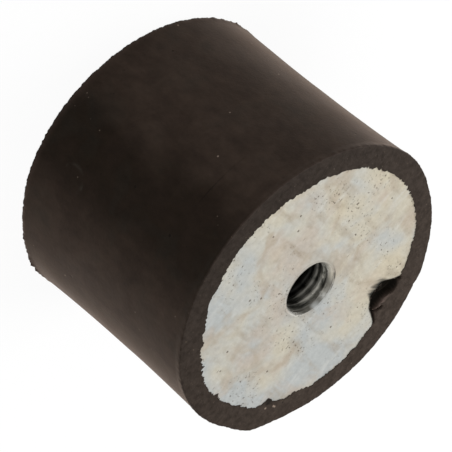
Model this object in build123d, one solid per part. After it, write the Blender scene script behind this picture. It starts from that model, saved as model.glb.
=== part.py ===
from build123d import *
import os
from math import radians, tan

# Bobbin vibration mount with a female thread in each end (mm).
# It stands on its lower end face: the origin is the middle of that face, +Z is the mount's axis.

# Rubber body
body_diameter = 65.0        # across the end rims
body_height = 50.0          # face to face
rim_height = 1.6            # straight land of each end rim
rim_step = 0.3              # how far a rim stands proud of the side next to it
waist_depth = 0.55          # sagitta of the hollow side between the rims
rim_edge_radius = 0.5       # moulded edge between a rim and its end face

# End plates, set flush into the rubber
plate_diameter = 56.0
plate_thickness = 3.0
plate_edge_radius = 0.5     # tumbled edge on the buried side

# Threaded bushes, one riveted into each plate: M12 x 1.75, female
tap_drill_diameter = 10.2
mouth_diameter = 12.4       # countersunk mouth, opened past the thread's major diameter
thread_length = 14.0        # full thread, measured from the end face
drill_point_angle = 118.0   # included angle of the cone at the bottom of the bore
bush_diameter = 20.0
bush_length = 18.0          # from the end face to the buried end
bush_chamfer = 0.8
spigot_diameter = 16.0      # turned down to pass through the plate
rivet_gap = 0.0             # the spigot is closed up tight in the plate's hole

# Moulding gate: a notch in the upper plate's edge that the rubber fills
gate_angle = -159.0         # direction of the notch about +Z, in degrees from +X
gate_depth = 8.6            # from the plate's edge towards its middle
gate_mouth_width = 12.4     # at the plate's edge
gate_root_width = 4.5
gate_root_radius = 1.8
gate_sink = 0.4             # the rubber in the notch lies this far below the end face

body_radius = body_diameter / 2
plate_radius = plate_diameter / 2
bore_radius = tap_drill_diameter / 2
mouth_radius = mouth_diameter / 2
spigot_radius = spigot_diameter / 2


def disc_below(radius, height):
    """A disc whose top is on z = 0."""
    return Cylinder(radius, height, align=(Align.CENTER, Align.CENTER, Align.MAX))


def rubber_blank():
    """The moulded outline: a waisted side between two short end rims."""
    side_radius = body_radius - rim_step
    lower_step = rim_height + rim_step
    upper_step = body_height - lower_step
    side = ThreePointArc(
        (side_radius, lower_step), (side_radius - waist_depth, body_height / 2), (side_radius, upper_step)
    )
    rims = Polyline(
        (side_radius, upper_step),
        (body_radius, body_height - rim_height),
        (body_radius, body_height),
        (0, body_height),
        (0, 0),
        (body_radius, 0),
        (body_radius, rim_height),
        (side_radius, lower_step),
    )
    blank = revolve(Plane.XZ * make_face([side, rims]), Axis.Z)
    end_edges = blank.edges().group_by(Axis.Z)
    return fillet(end_edges[0] + end_edges[-1], rim_edge_radius)


def gate_prism(height):
    """The gate notch, its top on z = 0: a tapered slot that runs out through the plate's edge."""
    root = plate_radius - gate_depth
    taper = (gate_mouth_width - gate_root_width) / 2 / gate_depth
    run_out = body_radius - plate_radius
    half_root = gate_root_width / 2
    half_end = gate_mouth_width / 2 + taper * run_out
    outline = Polygon(
        (root, -half_root), (body_radius, -half_end), (body_radius, half_end), (root, half_root), align=None
    )
    outline = fillet(outline.vertices().group_by(Axis.X)[0], gate_root_radius)
    return Rot(0, 0, gate_angle) * extrude(outline, -height)


def end_plate():
    """Blanked steel disc, its outer face on z = 0, pierced for the bush's spigot."""
    plate = disc_below(plate_radius, plate_thickness)
    plate = fillet(plate.edges().group_by(Axis.Z)[0], plate_edge_radius)
    return plate - disc_below(spigot_radius + rivet_gap, plate_thickness)


def bush_blank():
    """Turned steel bush before boring: a shank behind the plate and a spigot through it."""
    shank = disc_below(bush_diameter / 2, bush_length) - disc_below(bush_diameter / 2, plate_thickness)
    shank = chamfer(shank.edges().group_by(Axis.Z)[0], bush_chamfer)
    return shank + disc_below(spigot_radius, plate_thickness)


def bush_bore():
    """Blind tapping bore with a countersunk mouth on z = 0, at the thread's minor diameter."""
    countersink = mouth_radius - bore_radius
    drill_point = bore_radius / tan(radians(drill_point_angle / 2))
    section = Polygon(
        (0, 0),
        (mouth_radius, 0),
        (bore_radius, -countersink),
        (bore_radius, -thread_length),
        (0, -thread_length - drill_point),
        align=None,
    )
    return revolve(Plane.XZ * section, Axis.Z)


upper_end = Pos(0, 0, body_height)
lower_end = Rot(180, 0, 0)

upper_plate = upper_end * (end_plate() - gate_prism(plate_thickness))
lower_plate = lower_end * end_plate()
upper_bush = upper_end * (bush_blank() - bush_bore())
lower_bush = lower_end * (bush_blank() - bush_bore())

# The rubber is moulded round the steel, so its pockets are the steel's own outline.
rubber_body = rubber_blank() - upper_plate - lower_plate
for end in (upper_end, lower_end):
    rubber_body -= end * bush_blank()
rubber_body -= upper_end * (gate_prism(gate_sink) & disc_below(plate_radius, gate_sink))

nodes = {
    "rubber_body": rubber_body,
    "upper_plate": upper_plate,
    "lower_plate": lower_plate,
    "upper_bush": upper_bush,
    "lower_bush": lower_bush,
}
os.makedirs("parts", exist_ok=True)
for name, solid in nodes.items():
    export_step(solid, f"parts/{name}.step")
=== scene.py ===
import bmesh
import bpy
from functools import cache
from math import atan2, cos, exp, hypot, pi, radians, sin, tan
from mathutils import Matrix, Quaternion, Vector, noise
from mathutils.geometry import intersect_point_line


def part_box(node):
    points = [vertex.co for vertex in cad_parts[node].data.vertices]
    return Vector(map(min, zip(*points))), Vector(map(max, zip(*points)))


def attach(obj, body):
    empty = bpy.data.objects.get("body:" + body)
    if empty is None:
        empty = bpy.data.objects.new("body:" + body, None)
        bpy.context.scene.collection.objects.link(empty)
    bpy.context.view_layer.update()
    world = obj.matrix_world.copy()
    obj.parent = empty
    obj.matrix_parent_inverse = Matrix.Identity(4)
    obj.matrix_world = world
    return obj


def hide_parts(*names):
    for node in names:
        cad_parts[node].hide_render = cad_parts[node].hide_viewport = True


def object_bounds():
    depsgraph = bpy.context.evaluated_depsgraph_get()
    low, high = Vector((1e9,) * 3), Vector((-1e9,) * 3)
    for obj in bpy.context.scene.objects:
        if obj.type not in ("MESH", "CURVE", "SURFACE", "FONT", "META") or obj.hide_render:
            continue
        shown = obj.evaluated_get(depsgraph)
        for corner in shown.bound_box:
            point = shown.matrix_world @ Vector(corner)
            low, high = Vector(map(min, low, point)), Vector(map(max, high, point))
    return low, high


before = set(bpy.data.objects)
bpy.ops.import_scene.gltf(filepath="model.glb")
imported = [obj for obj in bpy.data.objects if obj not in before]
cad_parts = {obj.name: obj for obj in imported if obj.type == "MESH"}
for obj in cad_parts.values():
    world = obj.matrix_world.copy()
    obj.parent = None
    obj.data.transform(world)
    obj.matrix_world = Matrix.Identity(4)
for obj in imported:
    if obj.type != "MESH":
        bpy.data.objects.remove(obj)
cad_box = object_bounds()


# Threaded bushes
# A turned steel bush sits behind each end plate, its spigot riveted through the plate and faced
# off flush. It is bored blind, tapped M12 right-handed and countersunk before the end is plated.

MM = 0.001
mount_height = cad_box[1][2] - cad_box[0][2]
face_sink = 0.12 * MM                # the steel lies this far below the rubber lip round it
plate_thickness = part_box("lower_plate")[1][2]
thread_minor = 5.40 * MM             # crests rubbed down, roots filled by plating and oil
thread_major = 5.63 * MM
thread_pitch = 1.75 * MM
thread_start = 0.24                  # where round the mouth the thread begins, in turns
thread_rise = (0.20, 0.54)           # the shares of a pitch where the wall goes from crest to root
thread_fall = (0.66, 1.0)            # and where it comes back to the next crest
rows_per_turn = 24                   # rows of mesh in each pitch
bush_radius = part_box("lower_bush")[1][0]
bush_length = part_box("lower_bush")[1][2]
bush_chamfer = 0.8 * MM
spigot_radius = 8.0 * MM
mouth_radius = 6.2 * MM
cone_radius = 6.1 * MM               # the countersink's cone, carried up to the face
cone_offset = 0.33 * MM              # it was cut this much off centre, towards cone_side
cone_side = radians(-139)
cone_oval = 0.14 * MM                # and this much out of round
bore_depth = 14.0 * MM
drill_point = thread_minor / tan(radians(59))
bush_steps = 144
real_corner = radians(40)            # edges that turn by more than this stay crisp

upper_end = Matrix.Translation((0, 0, mount_height))
lower_end = Matrix.Rotation(pi, 4, "X")


def half_section(stations):
    """Lays out a half section in the XZ plane from (radius, height, cuts before the next station).

    Each vertex is marked with its station's number, and those between with a share of the way."""
    bm = bmesh.new()
    mark = bm.verts.layers.float.new("station")
    chain = []
    for number, (station, following) in enumerate(zip(stations, stations[1:])):
        radius, height, cuts = station
        next_radius, next_height, _ = following
        for cut in range(cuts + 1):
            share = cut / (cuts + 1)
            here = radius + (next_radius - radius) * share
            chain.append(bm.verts.new((here, 0, height + (next_height - height) * share)))
            chain[-1][mark] = number + share
    chain.append(bm.verts.new((stations[-1][0], 0, stations[-1][1])))
    chain[-1][mark] = len(stations) - 1
    for start, end in zip(chain, chain[1:]):
        bm.edges.new((start, end))
    return bm


def turn(bm, steps):
    """Spins a half section once round the mount's axis and closes its poles."""
    bmesh.ops.spin(
        bm, geom=bm.verts[:] + bm.edges[:], cent=(0, 0, 0), axis=(0, 0, 1), dvec=(0, 0, 0),
        angle=2 * pi, steps=steps, use_merge=True, use_duplicate=False,
    )
    bmesh.ops.remove_doubles(bm, verts=bm.verts, dist=1e-7)
    bmesh.ops.recalc_face_normals(bm, faces=bm.faces)


def polar(vert, steps):
    """A vertex's radius and its angle, set exactly on one of the spin's steps."""
    step = 2 * pi / steps
    return hypot(vert.co.x, vert.co.y), round(atan2(vert.co.y, vert.co.x) / step) * step


def set_polar(vert, radius, angle):
    """Moves a vertex level to a new radius and angle about the axis."""
    vert.co.x = radius * cos(angle)
    vert.co.y = radius * sin(angle)


def smooth_step(low, high, value):
    """0 below low, 1 above high, eased between."""
    share = min(max((value - low) / (high - low), 0), 1)
    return share * share * (3 - 2 * share)


def finish_piece(bm, name, node, material):
    """Puts a finished mesh in the scene in place of its CAD node, with its real corners kept crisp."""
    bm.verts.layers.float.remove(bm.verts.layers.float["station"])
    for face in bm.faces:
        face.smooth = True
    for edge in bm.edges:
        edge.smooth = edge.calc_face_angle(0) < real_corner
    mesh = bpy.data.meshes.new(name)
    bm.to_mesh(mesh)
    bm.free()
    mesh.materials.append(material)
    made = bpy.data.objects.new(name, mesh)
    bpy.context.collection.objects.link(made)
    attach(made, "root")
    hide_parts(node)


def thread_wall(angle, height):
    """Radius of the tapped wall: crest, flank, root and flank of a worn right-handed thread."""
    phase = (height / thread_pitch - angle / (2 * pi) + thread_start) % 1
    rise = smooth_step(*thread_rise, phase) - smooth_step(*thread_fall, phase)
    return thread_minor + (thread_major - thread_minor) * rise


def tapped_bush():
    """The bush with its spigot's end on the sunk face and the helix cut into its bore."""
    rows = round(bore_depth / thread_pitch * rows_per_turn)
    bm = half_section([
        (0, -bore_depth - drill_point, 4),
        (thread_minor, -bore_depth, rows - 1),
        (mouth_radius, -face_sink, 3),
        (spigot_radius, -face_sink, 0),
        (spigot_radius, -plate_thickness, 0),
        (bush_radius, -plate_thickness, 0),
        (bush_radius, bush_chamfer - bush_length, 0),
        (bush_radius - bush_chamfer, -bush_length, 0),
        (0, -bush_length, 0),
    ])
    turn(bm, bush_steps)
    for vert in bm.verts:
        radius, angle = polar(vert, bush_steps)
        if -bore_depth < vert.co.z < -face_sink and radius < mouth_radius:
            cone = cone_radius + cone_offset * cos(angle - cone_side) - cone_oval * cos(2 * angle)
            countersink = cone + vert.co.z + face_sink
            set_polar(vert, max(countersink, thread_wall(angle, vert.co.z)), angle)
    return bm


def add_node(tree, kind, links=(), **settings):
    """Adds a node, sets its properties or named sockets, and links its inputs."""
    node = tree.nodes.new(kind)
    for name, value in settings.items():
        if hasattr(node, name):
            setattr(node, name, value)
        else:
            node.inputs[name.replace("_", " ")].default_value = value
    for socket, source in links:
        tree.links.new(source, node.inputs[socket])
    return node


def ramp(tree, source, stops):
    """A straight colour ramp on a value; stops are (position, grey or colour)."""
    node = add_node(tree, "ShaderNodeValToRGB", links=[(0, source)])
    band = node.color_ramp
    while len(band.elements) < len(stops):
        band.elements.new(0.5)
    for element, (position, colour) in zip(band.elements, stops):
        element.position = position
        element.color = (*colour, 1) if isinstance(colour, tuple) else (colour, colour, colour, 1)
    return node.outputs["Color"]


def set_input(tree, socket, value):
    """Links another node's output to an input, or sets its plain number or colour."""
    if isinstance(value, bpy.types.NodeSocket):
        tree.links.new(value, socket)
    else:
        socket.default_value = (*value, 1) if isinstance(value, tuple) else value


def blend_colour(tree, factor, first, second, mode="MIX"):
    """Mixes two colours, or lays the second over the first in a blend mode, by a factor."""
    node = add_node(tree, "ShaderNodeMix", data_type="RGBA", blend_type=mode)
    for index, value in ((0, factor), (6, first), (7, second)):
        set_input(tree, node.inputs[index], value)
    return node.outputs[2]


def arithmetic(tree, operation, first, second=0.0):
    """A Math node on two values or sockets."""
    node = add_node(tree, "ShaderNodeMath", operation=operation)
    for index, value in enumerate((first, second)):
        set_input(tree, node.inputs[index], value)
    return node.outputs[0]


def product(tree, first, second):
    """One value or socket times another."""
    return arithmetic(tree, "MULTIPLY", first, second)


def fractal(tree, position, scale, detail=3.0, roughness=0.55, distortion=0.0):
    """A noise value on a position."""
    node = add_node(
        tree, "ShaderNodeTexNoise", links=[("Vector", position)],
        Scale=scale, Detail=detail, Roughness=roughness, Distortion=distortion,
    )
    return node.outputs["Fac"]


def moved(tree, position, location=(0, 0, 0), turned=0.0, stretch=(1, 1, 1)):
    """The position shifted, turned about the axis and stretched, for a pattern of its own."""
    node = add_node(tree, "ShaderNodeMapping", links=[("Vector", position)])
    node.inputs["Location"].default_value = location
    node.inputs["Rotation"].default_value = (0, 0, turned)
    node.inputs["Scale"].default_value = stretch
    return node.outputs["Vector"]


def scattered_dots(tree, position, spacing, size, share):
    """Small round dots, one in some of the cells of a scatter; 1 inside a dot."""
    cells = add_node(tree, "ShaderNodeTexVoronoi", links=[("Vector", position)], Scale=1 / spacing)
    reach = size / spacing
    near = ramp(tree, cells.outputs["Distance"], [(reach * 0.5, 1.0), (reach, 0.0)])
    pick = add_node(tree, "ShaderNodeSeparateColor", links=[(0, cells.outputs["Color"])])
    chosen = arithmetic(tree, "LESS_THAN", pick.outputs[0], share)
    return product(tree, near, chosen)


def threshold(tree, value, low, high, top=1.0):
    """Rises from 0 at low to top at high."""
    return ramp(tree, value, [(low, 0.0), (high, top)])


plating_clouds = [                   # from the bluest of the plating to the creamiest
    (0.36, (0.444, 0.460, 0.449)), (0.48, (0.497, 0.488, 0.440)),
    (0.58, (0.529, 0.495, 0.408)), (0.70, (0.543, 0.489, 0.377)),
]
blush_tan = (0.480, 0.405, 0.330)
streak_brown = (0.340, 0.280, 0.205)
wisp_white = (0.600, 0.595, 0.555)
tide_brown = (0.400, 0.335, 0.250)
pit_black = (0.10, 0.08, 0.055)


def skin_group(name):
    """An empty group for a surface: a position in, its colour, roughness and height out."""
    group = bpy.data.node_groups.new(name, "ShaderNodeTree")
    group.interface.new_socket("Color", in_out="OUTPUT", socket_type="NodeSocketColor")
    for label in ("Roughness", "Height"):
        group.interface.new_socket(label, in_out="OUTPUT", socket_type="NodeSocketFloat")
    group.interface.new_socket("Position", in_out="INPUT", socket_type="NodeSocketVector")
    position = group.nodes.new("NodeGroupInput").outputs["Position"]
    return group, position, group.nodes.new("NodeGroupOutput")


def close_skin(group, out, colour, roughness, height):
    """Links a surface group's three results to its output."""
    for label, source in (("Color", colour), ("Roughness", roughness), ("Height", height)):
        group.links.new(source, out.inputs[label])


def split_axes(tree, position):
    """The X, Y and Z of a position."""
    return add_node(tree, "ShaderNodeSeparateXYZ", links=[(0, position)]).outputs


def zinc_skin():
    """Dull zinc plating: cream and blue-grey clouds, tan stains, specks and pits in drifts, scores."""
    group, position, out = skin_group("zinc_skin")
    place = split_axes(group, position)
    clouds = fractal(group, position, 80, detail=3, roughness=0.5, distortion=0.3)
    clouds = arithmetic(group, "SUBTRACT", clouds, product(group, place["Y"], 4.6))
    clouds = arithmetic(group, "ADD", clouds, product(group, place["X"], 1.2))
    colour = ramp(group, clouds, plating_clouds)

    # tan blushes, brown streaks and white wisps
    aside = moved(group, position, location=(0.284, 0.096, 0))
    blush = fractal(group, aside, 90, detail=4, distortion=0.5)
    colour = blend_colour(group, threshold(group, blush, 0.52, 0.66, 0.62), colour, blush_tan)
    drawn = moved(group, position, turned=radians(35), stretch=(90, 260, 1))
    streaks = fractal(group, drawn, 1, detail=5)
    colour = blend_colour(group, threshold(group, streaks, 0.54, 0.72, 0.65), colour, streak_brown)
    drawn = moved(group, position, turned=radians(-20), stretch=(420, 130, 1))
    wisps = fractal(group, drawn, 1, detail=3, distortion=0.6)
    colour = blend_colour(group, threshold(group, wisps, 0.56, 0.72, 0.35), colour, wisp_white)

    # tide marks where the rinse dried, and a fine grain
    tide = fractal(group, moved(group, position, location=(0.7, 0.4, 0)), 42, detail=4, roughness=0.55)
    tide = ramp(group, tide, [(0.460, 0.0), (0.490, 0.45), (0.510, 0.45), (0.540, 0.0)])
    tide = product(group, tide, threshold(group, blush, 0.46, 0.56))
    colour = blend_colour(group, tide, colour, tide_brown)
    grain = fractal(group, position, 800, detail=3, roughness=0.65)
    colour = blend_colour(group, 0.15, colour, threshold(group, grain, 0.3, 0.7), mode="SOFT_LIGHT")

    # specks in drifts, rare pits and short scores
    drifts = fractal(group, moved(group, position, location=(0.05, 0.2, 0)), 80, detail=3)
    specks = fractal(group, position, 1700, detail=2, roughness=0.6)
    specks = product(group, threshold(group, specks, 0.62, 0.68), threshold(group, drifts, 0.47, 0.58))
    aside = moved(group, position, location=(0.01, 0, 0))
    rare_pits = scattered_dots(group, aside, 2.6 * MM, 0.34 * MM, 0.20)
    pits = arithmetic(group, "MAXIMUM", specks, rare_pits)
    drawn = moved(group, position, turned=radians(60), stretch=(1, 0.22, 1))
    scores = scattered_dots(group, drawn, 1.5 * MM, 0.14 * MM, 0.20)
    drawn = moved(group, position, turned=radians(-35), stretch=(1, 0.28, 1))
    cross_scores = scattered_dots(group, drawn, 1.8 * MM, 0.14 * MM, 0.14)
    scores = arithmetic(group, "MAXIMUM", scores, cross_scores)
    pits = arithmetic(group, "MAXIMUM", pits, product(group, scores, 0.7))
    colour = blend_colour(group, product(group, pits, 0.78), colour, pit_black)

    # handling scuffs, which also change the gloss
    drawn = moved(group, position, turned=radians(-25), stretch=(120, 2400, 1))
    scuffs = fractal(group, drawn, 1, detail=2)
    height = arithmetic(group, "SUBTRACT", product(group, grain, 0.22), pits)
    height = arithmetic(group, "ADD", height, product(group, scuffs, 0.2))
    height = arithmetic(group, "ADD", height, product(group, wisps, 0.4))
    close_skin(group, out, colour, ramp(group, scuffs, [(0.3, 0.48), (0.7, 0.66)]), height)
    return group


def new_material(name, plain_colour, **constants):
    """A Principled material; returns it with its tree and shader, constants set on its own sockets."""
    material = bpy.data.materials.new(name)
    material.use_nodes = True
    material.diffuse_color = (*plain_colour, 1)
    shader = material.node_tree.nodes["Principled BSDF"]
    for label, value in constants.items():
        shader.inputs[label.replace("_", " ")].default_value = value
    return material, material.node_tree, shader


def object_position(tree):
    """The Object coordinate, which a finished piece shares with the mount's frame."""
    return tree.nodes.new("ShaderNodeTexCoord").outputs["Object"]


def place_group(tree, group, position):
    """Places a node group in a material on a position."""
    node = tree.nodes.new("ShaderNodeGroup")
    node.node_tree = group
    tree.links.new(position, node.inputs["Position"])
    return node


def add_bump(tree, shader, height, distance):
    """Bends the shader's normal by a height map in which 1 stands for the distance."""
    bump = add_node(tree, "ShaderNodeBump", links=[("Height", height)], Distance=distance, Strength=1.0)
    tree.links.new(bump.outputs["Normal"], shader.inputs["Normal"])


zinc = zinc_skin()
oiled_steel = [                      # from the darkest oil film to bare metal
    (0.36, (0.13, 0.13, 0.108)), (0.50, (0.27, 0.265, 0.228)), (0.64, (0.50, 0.48, 0.42)),
]
# below, the bright ring, rubbed and nick colours are painted highlights, the grime colour is painted
# shade with grime, and the last colour is the darker one along the mouth's edge
turned_ring_highlight = (0.60, 0.59, 0.53)
streak_highlight_bright = (0.66, 0.64, 0.57)
mouth_shade_and_grime = (0.060, 0.055, 0.042)
glint_bright = (0.97, 0.95, 0.90)
mouth_edge_dark = (0.03, 0.026, 0.02)
CENTIMETRES = 100                    # scales a small distance into a ramp's 0 to 1


def tapped_steel():
    """Plated like the plate at the mouth and, as painted light, on the lit sides of the countersink;
    oiled steel down the thread, blacker with depth as painted shade, with painted highlights and a
    painted glint, and darker in patches along the mouth's edge.
    """
    material, tree, shader = new_material("tapped_steel", (0.3, 0.3, 0.28))
    position = object_position(tree)
    plating = place_group(tree, zinc, position)
    place = split_axes(tree, position)
    off_middle = arithmetic(tree, "SUBTRACT", place["Z"], mount_height / 2)
    depth = arithmetic(tree, "SUBTRACT", mount_height / 2, arithmetic(tree, "ABSOLUTE", off_middle))
    depth = product(tree, depth, CENTIMETRES)
    bearing = arithmetic(tree, "ARCTAN2", place["Y"], place["X"])
    bearing = arithmetic(tree, "ADD", arithmetic(tree, "DIVIDE", bearing, 2 * pi), 0.5)

    # the plating covers the end face; its pale colour is also laid on the sides of the countersink that
    # catch the light, as painted light
    on_face = ramp(tree, depth, [(0.014, 1.0), (0.018, 0.0)])
    rimmed = ramp(tree, depth, [(0.045, 1.0), (0.105, 0.0)])
    painted_lit_sides = ramp(tree, bearing, [
        (0.0, 0.1), (0.02, 0.7), (0.045, 0.1), (0.09, 0.2), (0.13, 0.85), (0.28, 0.9), (0.33, 0.0),
        (0.915, 0.0), (0.94, 0.8), (0.955, 0.8), (0.985, 0.1),
    ])
    at_mouth = arithmetic(tree, "MAXIMUM", on_face, product(tree, rimmed, painted_lit_sides))

    # below it the steel is oily and ringed by the tool, and it is made blacker the deeper it lies, as
    # painted shade
    painted_bore_shade = ramp(tree, depth, [(0.22, 1.0), (0.42, 0.44), (0.56, 0.035)])
    oil = fractal(tree, position, 420, detail=4, distortion=0.8)
    steel = ramp(tree, oil, oiled_steel)
    rings = moved(tree, position, stretch=(150, 150, 2000))
    rings = fractal(tree, rings, 1, detail=3, roughness=0.6, distortion=0.5)
    # the rings' dark and light bands are partly the tool's marks and partly painted shade and painted
    # highlights on the thread
    ring_shade = ramp(tree, rings, [(0.40, 0.30), (0.50, 1.0)])
    steel = blend_colour(tree, 1.0, steel, ring_shade, mode="MULTIPLY")
    steel = blend_colour(tree, threshold(tree, rings, 0.53, 0.62, 0.9), steel, turned_ring_highlight)
    # painted shade: the steel is blacker the deeper it lies in the bore
    steel = blend_colour(tree, 1.0, steel, painted_bore_shade, mode="MULTIPLY")
    # one side of the bore, the side facing away from the light, is darkened as painted shade
    painted_side_shade = ramp(tree, bearing, [(0.70, 1.0), (0.78, 0.40), (0.87, 0.40), (0.91, 1.0)])
    steel = blend_colour(tree, 1.0, steel, painted_side_shade, mode="MULTIPLY")

    # two streaks of painted highlight run down the bore, the steel just below the mouth is darkened as
    # painted shade with grime, and one spot is a painted glint
    # painted highlights: two bright streaks down the bore
    rubbed = ramp(tree, bearing, [
        (0.0, 0.3), (0.032, 0.8), (0.065, 0.0), (0.915, 0.0), (0.952, 0.8), (0.985, 0.0),
    ])
    highlight_streak_steel = blend_colour(tree, 1.0, streak_highlight_bright, painted_bore_shade, mode="MULTIPLY")
    steel = blend_colour(tree, rubbed, steel, highlight_streak_steel)
    # the steel just below the mouth is darkened: painted shade with grime
    steel = blend_colour(tree, ramp(tree, depth, [(0.080, 0.85), (0.150, 0.0)]), steel, mouth_shade_and_grime)
    # a painted glint on one spot of the countersink
    painted_glint = product(
        tree, ramp(tree, bearing, [(0.016, 0.0), (0.026, 1.0), (0.036, 0.0)]),
        ramp(tree, depth, [(0.090, 0.0), (0.115, 1.0), (0.140, 0.0)]),
    )
    steel = blend_colour(tree, painted_glint, steel, glint_bright)
    colour = blend_colour(tree, at_mouth, steel, plating.outputs["Color"])

    # the face is darker in patches along the mouth's edge, mostly on one side
    squares = [arithmetic(tree, "POWER", place[axis], 2) for axis in ("X", "Y")]
    radius = arithmetic(tree, "SQRT", arithmetic(tree, "ADD", *squares))
    edge = ramp(tree, product(tree, radius, CENTIMETRES),
                [(0.620, 0.0), (0.640, 1.0), (0.664, 1.0), (0.684, 0.0)])
    patchy = threshold(tree, fractal(tree, position, 750, detail=2), 0.34, 0.54)
    patchy = arithmetic(tree, "ADD", product(tree, patchy, 0.55), 0.45)
    darker_side = ramp(tree, bearing, [(0.04, 0.12), (0.08, 0.85), (0.17, 0.85), (0.23, 0.12)])
    edge_darkening = product(tree, product(tree, edge, patchy), darker_side)
    colour = blend_colour(tree, edge_darkening, colour, mouth_edge_dark)

    tree.links.new(colour, shader.inputs["Base Color"])
    tree.links.new(ramp(tree, at_mouth, [(0.0, 0.42), (1.0, 0.5)]), shader.inputs["Roughness"])
    tree.links.new(ramp(tree, at_mouth, [(0.0, 0.45), (1.0, 0.30)]), shader.inputs["Metallic"])
    add_bump(tree, shader, plating.outputs["Height"], 0.05 * MM)
    return material


bush_steel = tapped_steel()
for end, place in (("upper", upper_end), ("lower", lower_end)):
    bush = tapped_bush()
    bmesh.ops.transform(bush, matrix=place, verts=bush.verts)
    finish_piece(bush, f"{end}_tapped_bush", f"{end}_bush", bush_steel)


# Gate mark
# The upper plate's edge has a notch where the rubber ran in. The sprue was torn off, which left
# a pocket against the steel, black with torn rubber and painted shade, a ragged lip of rubber past it and
# a tear down one side.

plate_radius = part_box("lower_plate")[1][0]
gate_edge = (                        # the bare steel's edge round the notch
    (-174.4, 26.9), (-172.8, 26.0), (-170.3, 24.1), (-169.4, 23.1), (-168.1, 22.4), (-165.7, 21.6),
    (-163.0, 20.9), (-160.4, 20.5), (-158.2, 20.9), (-155.0, 21.2), (-152.1, 21.8), (-151.2, 22.5),
    (-150.7, 24.6), (-150.1, 25.9), (-149.2, 26.8),
)
pocket_end = (                       # where the pocket's floor comes up to the torn rubber
    (-174.4, 26.9), (-172.6, 25.6), (-170.3, 23.4), (-168.0, 23.7), (-163.0, 24.2), (-160.6, 24.5),
    (-159.2, 25.2), (-157.4, 26.6), (-154.4, 27.0), (-151.6, 26.7), (-149.2, 26.8),
)
tear = (                             # its line in plan, in millimetres of X and Y
    (-26.4, -3.0), (-25.3, -3.6), (-23.6, -4.4), (-24.2, -5.3), (-25.0, -6.4),
)
tear_depth = 0.9 * MM
tear_side = (0.15 * MM, 0.52 * MM)   # its slope starts and ends this far from its middle
pocket_depth = 1.6 * MM
pocket_lumps = 0.3 * MM
pocket_wall = (0.1 * MM, 0.6 * MM)   # from the steel, where the pocket starts and is deepest
pocket_ramp = (-0.3 * MM, 0.5 * MM)  # before the pocket's end, where its floor is up and is down
gate_ease = 0.3 * MM                 # how quickly the pocket fades out at its two sides
ridge_back = 0.60 * MM               # the torn lip's crest lies this far past the pocket's end
ridge_start = (radians(-170.5), radians(-169))
ridge_end = (radians(-160), radians(-157))
gate_start = radians(gate_edge[0][0])
gate_end = radians(gate_edge[-1][0])


@cache
def radius_on(line, angle):
    """Radius at an angle on a line through (degrees, millimetres) points; past it, the plate's edge."""
    for (start, low), (end, high) in zip(line, line[1:]):
        if radians(start) <= angle <= radians(end):
            share = (angle - radians(start)) / radians(end - start)
            return (low + (high - low) * share) * MM
    return plate_radius


def in_gate(angle, radius):
    """1 inside the gate's sweep, easing to 0 at its two sides."""
    return smooth_step(0, gate_ease, min(angle - gate_start, gate_end - angle) * radius)


def off_line(points, place):
    """Distance of a place in plan from a line through points in millimetres."""
    ends = [Vector(point) * MM for point in points]
    gaps = []
    for start, end in zip(ends, ends[1:]):
        foot, share = intersect_point_line(place, start, end)
        nearest = [foot] if 0 <= share <= 1 else [start, end]
        gaps.extend((place - point).length for point in nearest)
    return min(gaps)


def gate_depth(angle, radius):
    """How far the torn rubber lies below the end face: a pocket behind the steel and a tear beside it."""
    place = Vector((radius * cos(angle), radius * sin(angle)))
    inside = radius - radius_on(gate_edge, angle)
    floor_left = radius_on(pocket_end, angle) - radius
    pocket = smooth_step(*pocket_wall, inside) * smooth_step(*pocket_ramp, floor_left)
    slit = 1 - smooth_step(*tear_side, off_line(tear, place))
    lumps = pocket_lumps * noise.noise(Vector((place.x, place.y, 0)) / (1.1 * MM))
    return max(pocket * in_gate(angle, radius) * (pocket_depth + lumps), slit * tear_depth)


def ridge_rise(angle, radius):
    """The torn lip's height above the face, as a share of the most, where the pocket ends."""
    away = (radius - radius_on(pocket_end, angle) - ridge_back) / ridge_back
    lumps = 0.7 + 1.3 * noise.noise(Vector((radius * cos(angle), radius * sin(angle), 1)) / (0.8 * MM))
    along = smooth_step(*ridge_start, angle) * (1 - smooth_step(*ridge_end, angle))
    return max(lumps, 0) * exp(-away * away) * along


# End plates
# Blanked steel discs, 3 mm thick, tumbled, riveted to their bushes and zinc plated together.
# The rubber is vulcanised over their edges; the upper one has the gate's notch in its edge.

edge_round = 0.5 * MM
end_steps = 720                      # fine enough round the end for the ragged rubber over the steel
gate_cover = 0.10 * MM               # how far the rubber laps over the steel round the notch
plate_waves = 0.03 * MM              # how uneven blanking and riveting left the outer face
bare_edge = [(radius * cos(radians(angle)), radius * sin(radians(angle))) for angle, radius in gate_edge]
ink_line = 0.25 * MM                 # width of the rubber rubbed off on the steel along the notch
ink_patch = 2.2 * MM                 # and how much wider it is along the notch's middle
patch_start = (5.6, 7.2)             # where that begins and ends, in millimetres towards -Y
patch_end = (10.4, 11.8)
ink_sweep = radians(4)               # the ink reaches no further than this past the gate
rubber_ink = (0.020, 0.020, 0.017)


@cache
def steel_edge(angle, gated):
    """Radius of the plate's edge at an angle."""
    if not gated:
        return plate_radius
    return min(plate_radius, radius_on(gate_edge, angle) + gate_cover)


def ink_on_steel(place, radius, angle):
    """How much rubber is rubbed off on the steel: a line along the notch, wider at its middle.

    It ends in strokes that run outwards, five times as long as they are wide."""
    along = -place.y / MM
    widened = smooth_step(*patch_start, along) * (1 - smooth_step(*patch_end, along))
    strokes = noise.noise(Vector((radius / 5, 21 * MM * angle, 0)) / (0.6 * MM))
    from_edge = off_line(bare_edge, place) / (ink_line + ink_patch * widened)
    return 1 - smooth_step(0, 1, from_edge + 0.45 * strokes)


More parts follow.
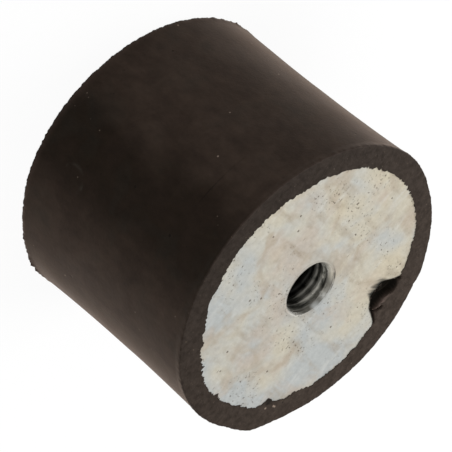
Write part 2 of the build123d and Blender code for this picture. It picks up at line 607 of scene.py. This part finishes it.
def end_disc(gated):
    """The plate, its outer face sunk by the lip's thickness and a little uneven from blanking."""
    bm = half_section([
        (spigot_radius, -face_sink, 57),                     # 0 to 1 is the outer face
        (plate_radius, -face_sink, 3),                       # 1 to 2 is the edge
        (plate_radius, edge_round - plate_thickness, 1),
        (plate_radius - edge_round, -plate_thickness, 6),
        (spigot_radius, -plate_thickness, 1),
        (spigot_radius, -face_sink, 0),
    ])
    turn(bm, end_steps)
    mark = bm.verts.layers.float["station"]
    smear = bm.verts.layers.float.new("smear")
    for vert in bm.verts:
        radius, angle = polar(vert, end_steps)
        edge = steel_edge(angle, gated)
        share = (radius - spigot_radius) / (plate_radius - spigot_radius)
        set_polar(vert, spigot_radius + share * (edge - spigot_radius), angle)
        if 0 < vert[mark] < 1:
            away_from_bush = smooth_step(0, 0.1, share)
            vert.co.z += plate_waves * away_from_bush * noise.noise(vert.co / (7 * MM))
        if gated and vert[mark] <= 2 and gate_start < angle < gate_end + ink_sweep:
            vert[smear] = ink_on_steel(vert.co.xy, radius, angle)
    return bm


def zinc_plated():
    """Zinc plating, inked with rubber where the gate's edge has rubbed off on it."""
    material, tree, shader = new_material(
        "zinc_plated", (0.55, 0.53, 0.48), Metallic=0.25, Specular_IOR_Level=0.12,
    )
    skin = place_group(tree, zinc, object_position(tree))
    smear = add_node(tree, "ShaderNodeAttribute", attribute_name="smear").outputs["Fac"]
    colour = blend_colour(tree, smear, skin.outputs["Color"], rubber_ink)
    tree.links.new(colour, shader.inputs["Base Color"])
    tree.links.new(skin.outputs["Roughness"], shader.inputs["Roughness"])
    add_bump(tree, shader, skin.outputs["Height"], 0.06 * MM)
    return material


plate_zinc = zinc_plated()
for end, place in (("upper", upper_end), ("lower", lower_end)):
    disc = end_disc(gated=end == "upper")
    bmesh.ops.transform(disc, matrix=place, verts=disc.verts)
    finish_piece(disc, f"{end}_plate_disc", f"{end}_plate", plate_zinc)


# Rubber body
# Black natural rubber, vulcanised round the steel in a two-part mould: a slightly waisted side between
# two short rims. The flash was trimmed by hand, so the rims and the lips over the plates are ragged.

rim_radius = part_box("rubber_body")[1][0]
rim_height = 1.9 * MM
rim_step = 0.18 * MM
rim_edge = 0.16 * MM
waist_depth = 0.40 * MM
side_radius = rim_radius - rim_step
side_waves = 0.07 * MM               # slow unevenness of the moulded side
end_waves = 0.03 * MM                # and of the trimmed ends
lower_rim_waves = 0.10 * MM          # the knife dipped this much round the lower rim
ridge_height = 0.2 * MM              # of the torn lip at the gate
lip_shadow_dark = 0.6                       # how dark the painted shadow along the lips' torn edges is
rim_fresh = 0.24                     # how pale the lower rim's trimmed edge is
rim_edge_highlight = 0.30                   # and how pale the painted highlight along the upper rim's edge is
rim_highlight_bearing = (-30, 40)            # where that is: its middle and its spread in degrees
bite_bearing = (123.7, 2.2)          # the black bite in the upper lip, in degrees
bite_radius = 27.6 * MM              # and how far out it reaches
lip_line = (                         # edge of the rubber skin over the upper plate
    (-180, 27.0), (-148, 26.8), (-144, 27.1), (-133, 27.3), (-128.5, 27.9), (-100, 27.8), (-75, 27.5),
    (-50, 27.5), (-48, 27.1), (-40, 27.5), (-32, 26.95), (-28, 26.95), (-25, 27.4), (8, 27.9),
    (24.5, 27.5), (27, 27.9), (32, 27.9), (35, 27.4), (43.5, 26.8), (46, 27.35), (51, 26.65),
    (53, 27.4), (57, 27.4), (61, 27.0), (64.5, 27.5), (69.5, 27.4), (72, 27.9), (83, 27.9),
    (88, 27.3), (91.5, 27.8), (98, 27.4), (102, 27.7), (104.5, 27.2), (109, 27.7), (116, 27.9),
    (120.8, 27.1), (122.6, 26.0), (125, 26.2), (127, 27.1), (132, 27.4), (137, 27.2), (139, 26.6),
    (142, 27.1), (149, 27.9), (152.5, 27.4), (158, 27.7), (168, 27.6), (170.5, 27.1), (173, 27.6),
    (180, 27.0),
)
rim_line = (                         # the upper rim's edge, where flash was left on or cut away
    (-180, 32.7), (-154, 32.5), (-152, 32.8), (-149, 32.9), (-140, 32.5), (-122, 32.1), (-108, 31.95),
    (-96, 32.3), (-84, 32.5), (84, 32.5), (104, 32.5), (112, 33.0), (118.8, 33.55), (124, 33.1),
    (131, 32.6), (140, 32.35), (160, 32.5), (180, 32.7),
)


def around(angle, lobes, seed):
    """Smooth noise from -1 to 1 that closes on itself round the mount."""
    return noise.noise(Vector((lobes * cos(angle), lobes * sin(angle), seed)))


def hump(angle, centre, width):
    """A rounded bump of height 1 at an angle, in degrees."""
    away = (angle - radians(centre)) / radians(width)
    return exp(-away * away)


def cusps(value, sharpness):
    """Turns smooth noise into thin pointed crests."""
    return (1 - abs(value)) ** sharpness


@cache
def lip_radius(angle, gated):
    """Inner edge of the rubber skin over the plate: a torn line with fine notches on it."""
    patchy = 0.85 + 1.1 * around(angle, 4, 8.0)
    torn = 0.36 * around(angle, 24, 3.0) + 0.46 * around(angle, 50, 5.0) + 0.36 * around(angle, 90, 6.0)
    torn = patchy * (torn - 0.22 * cusps(around(angle, 30, 7.0), 6) + 0.05)
    if not gated:
        return (27.65 + 0.2 * around(angle, 2, 4.0) + torn) * MM
    ragged = radius_on(lip_line, angle) + torn * MM
    return min(ragged, plate_radius - 0.05 * MM, radius_on(gate_edge, angle) + 0.4 * torn * MM)


@cache
def rim_growth(angle, gated):
    """How far the trimmed rim stands out of round: flash left on, and nicks where the knife went in."""
    if gated:
        left_on = (radius_on(rim_line, angle) - rim_radius) / MM
        nicks = 0.16 * smooth_step(-0.1, 0.3, around(angle, 5, 3.0)) * cusps(around(angle, 18, 9.0), 9)
        return (left_on - nicks + 0.12 * around(angle, 28, 6.0) + 0.10 * around(angle, 70, 8.0)) * MM
    left_on = 0.20 * hump(angle, -15, 24) - 0.2 * hump(angle, -50, 12) + 0.35 * hump(angle, -77, 7)
    ragged = 0.20 * around(angle, 26, 6.0) + 0.24 * around(angle, 70, 8.0)
    ragged += 0.25 * hump(angle, -77, 9) * around(angle, 45, 2.0)
    return (left_on + ragged - 0.10 + 0.15 * hump(angle, 78, 3)) * MM


def moulded_end(gated, annulus_cuts):
    """One half of the moulding, from mid height over its rim and lip to the pockets for the steel.

    Its torn layer marks black torn rubber, with painted shade in the gate's pocket and tear and a painted
    shadow along the lips' edges; its other layer marks paler, fresher edges, with a painted highlight on
    the upper rim's edge and the torn lip's crest."""
    middle = -mount_height / 2
    lip_nominal = plate_radius - edge_round
    bm = half_section([
        (side_radius, middle, 12),                           # 0 to 1 is the waisted side
        (side_radius, -rim_height, 5),                       # 1 to 2 sweeps out to the rim
        (rim_radius, -rim_edge, 0),                          # 2 to 4 is the rim's trimmed edge
        (rim_radius - rim_edge * 0.3, -rim_edge * 0.3, 0),
        (rim_radius - rim_edge, 0, annulus_cuts),            # 4 to 5 crosses the end face
        (lip_nominal, 0, 0),                                 # 5 to 6 is the lip's torn edge
        (lip_nominal, -face_sink, 0),                        # 6 to 9 wraps the plate's edge
        (plate_radius, -face_sink, 2),
        (plate_radius, edge_round - plate_thickness, 0),
        (plate_radius - edge_round, -plate_thickness, 2),    # 9 to 10 runs behind the plate
        (bush_radius, -plate_thickness, 1),                  # and the rest goes round the bush
        (bush_radius, bush_chamfer - bush_length, 0),
        (bush_radius - bush_chamfer, -bush_length, 1),
        (0, -bush_length, 0),
    ])
    turn(bm, end_steps)
    mark = bm.verts.layers.float["station"]
    torn = bm.verts.layers.float.new("torn")
    pale_and_highlit = bm.verts.layers.float.new("pale_and_highlit")
    for vert in bm.verts:
        at = vert[mark]
        if at > 10:
            continue
        radius, angle = polar(vert, end_steps)
        rim = rim_growth(angle, gated)
        lip = lip_radius(angle, gated)
        steel = steel_edge(angle, gated)
        if at < 1:
            up = (vert.co.z - middle) / (-rim_height - middle)
            waves = side_waves * noise.noise(vert.co / (14 * MM)) * smooth_step(0, 0.3, up)
            radius = side_radius - waist_depth * (1 - up * up) + waves
        elif at < 2:
            radius = side_radius + rim_step * smooth_step(1, 2, at) + rim * (at - 1) ** 3
            if not gated:
                vert[pale_and_highlit] = rim_fresh * smooth_step(1, 2, at)
        elif at <= 4:
            radius += rim
            # on the upper rim's edge a painted highlight; on the lower rim a paler trimmed edge
            vert[pale_and_highlit] = rim_edge_highlight * hump(angle, *rim_highlight_bearing) if gated else rim_fresh
            if not gated:
                vert.co.z -= lower_rim_waves * abs(around(angle, 12, 1.0))
        elif at < 5:
            radius = (5 - at) * (rim_radius - rim_edge + rim) + (at - 4) * lip
            vert.co.z -= end_waves * abs(noise.noise(vert.co / (2 * MM)))
            # a dark line along the lip's edge: painted shadow
            vert[torn] = lip_shadow_dark * smooth_step(4.985, 5, at)
            if gated and gate_start - radians(3) < angle < gate_end:
                sunk = gate_depth(angle, radius)
                ridge = ridge_rise(angle, radius)
                vert.co.z += ridge_height * ridge - sunk
                # the pocket and tear are blacker the deeper they sink: torn black rubber with painted
                # shade
                vert[torn] = max(vert[torn], smooth_step(0.05 * MM, 0.5 * MM, sunk))
                # the torn lip's crest is paled as a painted highlight
                vert[pale_and_highlit] = ridge
            elif gated and radius < bite_radius:
                vert[torn] = max(vert[torn], hump(angle, *bite_bearing))
        elif at <= 6:
            radius = lip
            # the lip's edge wall is darkened as painted shadow, and fully in the gate as painted shade
            vert[torn] = max(lip_shadow_dark, in_gate(angle, radius) if gated else 0)
        elif at < 7:
            radius = (7 - at) * lip + (at - 6) * steel
        elif at <= 9:
            radius += steel - plate_radius
        else:
            share = at - 9
            radius = (1 - share) * (steel - edge_round) + share * bush_radius
        set_polar(vert, radius, angle)
    return bm


def on_side(angle, height):
    """A place on the rubber's side, from an angle in degrees and a height in millimetres."""
    return (side_radius * cos(radians(angle)), side_radius * sin(radians(angle)), height * MM)


def on_end(radius, angle):
    """A place on the upper end face, from a radius in millimetres and an angle in degrees."""
    return (radius * MM * cos(radians(angle)), radius * MM * sin(radians(angle)), mount_height)


shade_stripe_black = (0.0128, 0.0083, 0.0051)
painted_light_brown = (0.0373, 0.0254, 0.0186)
patch_brown = (0.0180, 0.0113, 0.0080)
patch_olive = (0.0175, 0.0160, 0.0125)
cut_rubber = [(0.36, (0.0202, 0.0146, 0.0110)), (0.64, (0.0408, 0.0306, 0.0243))]
crumb_tan = (0.16, 0.12, 0.085)
dust_tan = (0.27, 0.21, 0.165)
pock_black = (0.004, 0.003, 0.002)
ring_grey = (0.05, 0.045, 0.038)
pale_edge_and_highlight = (0.088, 0.062, 0.052)
torn_and_shade_black = (0.0070, 0.0058, 0.0042)
stripe_bearing = radians(13)         # middle of the stripe of painted shade down the side
stripe_wander = 0.5                  # and how far it strays, in radians
flecks = ((28.35, 127.5), (28.6, 128.3), (28.4, 123.0))   # chips by the bite: radius, angle
score_height = 39.1 * MM             # where a knife's line runs round the side
score_start = -0.4                   # and its first bearing, in radians
ring_centre = on_side(24, 10.6)
DECIMETRES = 10                      # scales a place on the whole mount into a ramp's 0 to 1


def distance_from(tree, position, centre):
    """Distance of the surface from a point, in centimetres."""
    node = add_node(tree, "ShaderNodeVectorMath", links=[(0, position)], operation="DISTANCE")
    node.inputs[1].default_value = centre
    return product(tree, node.outputs["Value"], CENTIMETRES)


def side_colour(group, position, place):
    """Black with a darker stripe of painted shade down one side and painted light in brown round the
    rest, in brown and olive patches with flow marks.
    """
    bearing = arithmetic(group, "ARCTAN2", place["Y"], place["X"])
    drift = fractal(group, position, 70, detail=4, distortion=0.4)
    wandering = arithmetic(group, "ADD", bearing, product(group, drift, stripe_wander))
    off_stripe = arithmetic(group, "SUBTRACT", wandering, stripe_bearing + stripe_wander / 2)
    # the stripe keeps the darker black as painted shade; round it the brown is painted light
    painted_light_share = threshold(group, arithmetic(group, "ABSOLUTE", off_stripe), 0.16, 0.47)
    colour = blend_colour(group, painted_light_share, shade_stripe_black, painted_light_brown)
    aside = moved(group, position, location=(0.2, 0.3, 0))
    hue = fractal(group, aside, 110, detail=4, distortion=0.6)
    colour = blend_colour(group, ramp(group, hue, [(0.38, 0.40), (0.54, 0.0)]), colour, patch_brown)
    colour = blend_colour(group, ramp(group, hue, [(0.54, 0.0), (0.72, 0.4)]), colour, patch_olive)
    flow = fractal(group, moved(group, position, stretch=(420, 420, 260)), 1, detail=5, roughness=0.7)
    colour = blend_colour(group, 0.3, colour, threshold(group, flow, 0.25, 0.75, 1.6), mode="MULTIPLY")
    return colour, bearing, drift, hue, flow


def trimmed_ends(group, position, place, colour):
    """Lays the paler cut faces of the two ends, lighter towards -X and darker towards +X as painted
    light, with crumbs on them, over the side's colour.
    """
    from_middle = arithmetic(group, "SUBTRACT", place["Z"], mount_height / 2)
    from_middle = product(group, arithmetic(group, "ABSOLUTE", from_middle), DECIMETRES)
    end = mount_height / 2 * DECIMETRES
    trimmed = ramp(group, from_middle, [(end - 0.0035, 0.0), (end - 0.001, 1.0)])
    fine = fractal(group, position, 850, detail=4, roughness=0.65)
    across = arithmetic(group, "ADD", product(group, place["X"], DECIMETRES), 0.5)
    # painted light: the cut faces are lighter towards -X and darker towards +X
    painted_light_across = ramp(group, across, [(0.20, 1.20), (0.80, 0.76)])
    cut_face = blend_colour(group, 1.0, ramp(group, fine, cut_rubber), painted_light_across, mode="MULTIPLY")
    colour = blend_colour(group, trimmed, colour, cut_face)
    crumbs = fractal(group, position, 1900, detail=2, roughness=0.6)
    crumbs = product(group, threshold(group, crumbs, 0.66, 0.76, 0.5), trimmed)
    return blend_colour(group, crumbs, colour, crumb_tan)


def settled_dust(group, position):
    """Coarse and fine specks of dust, and the pale chips beside the bite in the lip."""
    coarse = scattered_dots(group, position, 4.4 * MM, 0.24 * MM, 0.30)
    aside = moved(group, position, location=(0.04, 0, 0))
    fine = scattered_dots(group, aside, 2.4 * MM, 0.17 * MM, 0.25)
    dust = arithmetic(group, "MAXIMUM", product(group, coarse, 0.7), product(group, fine, 0.35))
    for fleck in flecks:
        chip = ramp(group, distance_from(group, position, on_end(*fleck)), [(0.016, 0.9), (0.032, 0.0)])
        dust = arithmetic(group, "MAXIMUM", dust, chip)
    return dust


def scored_line(group, place, bearing, drift):
    """A thin line that a knife left round part of the side."""
    off_line_by = arithmetic(group, "SUBTRACT", place["Z"], score_height)
    off_line_by = product(group, arithmetic(group, "ABSOLUTE", off_line_by), CENTIMETRES)
    line = ramp(group, off_line_by, [(0.004, 1.0), (0.026, 0.0)])
    along = arithmetic(group, "SUBTRACT", bearing, score_start)
    along = ramp(group, along, [(0.02, 0.0), (0.08, 1.0), (0.34, 1.0), (0.46, 0.0)])
    return product(group, product(group, line, along), threshold(group, drift, 0.35, 0.60, 0.7))


def rubber_skin():
    """Moulded black rubber: painted shade and painted light round the side, cut ends, dust, pocks, a
    scored line and part of a ring mark.
    """
    group, position, out = skin_group("rubber_skin")
    place = split_axes(group, position)
    colour, bearing, drift, hue, flow = side_colour(group, position, place)
    colour = trimmed_ends(group, position, place, colour)
    colour = blend_colour(group, settled_dust(group, position), colour, dust_tan)
    aside = moved(group, position, location=(0.02, 0.01, 0))
    pocks = scattered_dots(group, aside, 5 * MM, 0.42 * MM, 0.30)
    dark = arithmetic(group, "MAXIMUM", pocks, scored_line(group, place, bearing, drift))
    colour = blend_colour(group, product(group, dark, 0.7), colour, pock_black)
    ring = distance_from(group, position, ring_centre)
    ring = ramp(group, ring, [(0.24, 0.0), (0.31, 0.30), (0.36, 0.0)])
    ring = product(group, ring, threshold(group, hue, 0.47, 0.56))
    colour = blend_colour(group, ring, colour, ring_grey)
    grain = fractal(group, position, 1500, detail=3, roughness=0.7)
    height = arithmetic(group, "SUBTRACT", product(group, grain, 0.8), dark)
    height = arithmetic(group, "ADD", height, product(group, flow, 0.5))
    close_skin(group, out, colour, ramp(group, drift, [(0.3, 0.52), (0.7, 0.66)]), height)
    return group


def matte_rubber():
    """Matte rubber with a warm bloom at glancing angles; paler fresh edges with painted highlights, and
    deeper black where it was torn at the gate, with painted shade there and a painted shadow along the
    lips' edges.
    """
    material, tree, shader = new_material(
        "matte_rubber", (0.02, 0.017, 0.015), Specular_IOR_Level=0.04,
        Sheen_Weight=0.24, Sheen_Roughness=0.33, Sheen_Tint=(1.0, 0.74, 0.58, 1),
    )
    skin = place_group(tree, rubber_skin(), object_position(tree))
    torn = add_node(tree, "ShaderNodeAttribute", attribute_name="torn").outputs["Fac"]
    pale_and_highlit = add_node(tree, "ShaderNodeAttribute", attribute_name="pale_and_highlit").outputs["Fac"]
    # paler fresh edges, and painted highlights on the upper rim's edge and the torn lip's crest
    colour = blend_colour(tree, product(tree, pale_and_highlit, 0.9), skin.outputs["Color"], pale_edge_and_highlight)
    # black torn rubber, with painted shade in the gate's pocket and tear and painted shadow along the
    # lips' edges
    colour = blend_colour(tree, torn, colour, torn_and_shade_black)
    tree.links.new(colour, shader.inputs["Base Color"])
    tree.links.new(skin.outputs["Roughness"], shader.inputs["Roughness"])
    add_bump(tree, shader, skin.outputs["Height"], 0.05 * MM)
    return material


body = bmesh.new()
for gated, annulus_cuts, place in ((True, 44, upper_end), (False, 5, lower_end)):
    half = moulded_end(gated, annulus_cuts)
    bmesh.ops.transform(half, matrix=place, verts=half.verts)
    carrier = bpy.data.meshes.new("half")
    half.to_mesh(carrier)
    half.free()
    body.from_mesh(carrier)
    bpy.data.meshes.remove(carrier)
bmesh.ops.remove_doubles(body, verts=body.verts, dist=1e-6)
bmesh.ops.recalc_face_normals(body, faces=body.faces)
finish_piece(body, "moulded_rubber", "rubber_body", matte_rubber())


# Floor, light and camera
# The mount stands on a pale studio floor under soft light. The floor keeps its shadow and
# shows as white to the camera and in reflections.

floor_size = 3.0
floor_pale = (0.92, 0.92, 0.92, 1)
floor_lift = 0.9                     # how much of the white the camera and reflections see
ambient = 0.42


def studio_floor():
    """A pale floor, lifted to white where the camera or a reflection sees it."""
    material = bpy.data.materials.new("studio_floor")
    material.use_nodes = True
    tree = material.node_tree
    tree.nodes.clear()
    matte = add_node(tree, "ShaderNodeBsdfDiffuse")
    matte.inputs["Color"].default_value = floor_pale
    white = add_node(tree, "ShaderNodeEmission", Strength=1.0)
    path = tree.nodes.new("ShaderNodeLightPath")
    seen = arithmetic(tree, "MAXIMUM", path.outputs["Is Camera Ray"], path.outputs["Is Glossy Ray"])
    mix = add_node(
        tree, "ShaderNodeMixShader",
        links=[(0, product(tree, seen, floor_lift)), (1, matte.outputs[0]), (2, white.outputs[0])],
    )
    out = tree.nodes.new("ShaderNodeOutputMaterial")
    tree.links.new(mix.outputs[0], out.inputs["Surface"])
    return material


floor_bm = bmesh.new()
bmesh.ops.create_grid(floor_bm, x_segments=1, y_segments=1, size=floor_size)
floor_mesh = bpy.data.meshes.new("floor")
floor_bm.to_mesh(floor_mesh)
floor_bm.free()
floor_mesh.materials.append(studio_floor())
floor = bpy.data.objects.new("floor", floor_mesh)
bpy.context.collection.objects.link(floor)

world = bpy.data.worlds.new("studio")
world.use_nodes = True
sky = world.node_tree.nodes["Background"]
sky.inputs["Color"].default_value = (1, 1, 1, 1)
sky.inputs["Strength"].default_value = ambient
bpy.context.scene.world = world


def soft_lamp(name, position, aim, size, power):
    """A square area lamp that faces a point."""
    lamp = bpy.data.lights.new(name, "AREA")
    lamp.size = size
    lamp.energy = power
    made = bpy.data.objects.new(name, lamp)
    made.location = position
    made.rotation_mode = "QUATERNION"
    made.rotation_quaternion = (Vector(aim) - Vector(position)).to_track_quat("-Z", "Y")
    bpy.context.collection.objects.link(made)


body_middle = (0, 0, mount_height / 2)
soft_lamp("key", (0.25, 0.15, 0.75), body_middle, 0.5, 2.8)
soft_lamp("left_strip", (-0.49, -0.41, 0.28), body_middle, 0.45, 4.1)
soft_lamp("right_strip", (-0.32, 0.60, 0.22), body_middle, 0.45, 1.55)

camera_data = bpy.data.cameras.new("camera")
camera_data.lens = 239.8
camera_data.sensor_width = 36
camera_data.clip_end = 20
camera = bpy.data.objects.new("camera", camera_data)
camera.location = (0.49512, 0, 0.31027 + mount_height)
camera_aim = Vector((0, 0.0009, 0.0254))
camera_roll = Quaternion((0, 0, 1), radians(129.6))
camera.rotation_mode = "QUATERNION"
camera.rotation_quaternion = (camera_aim - camera.location).to_track_quat("-Z", "Y") @ camera_roll
bpy.context.collection.objects.link(camera)
scene = bpy.context.scene
scene.camera = camera
scene.view_settings.view_transform = "Standard"
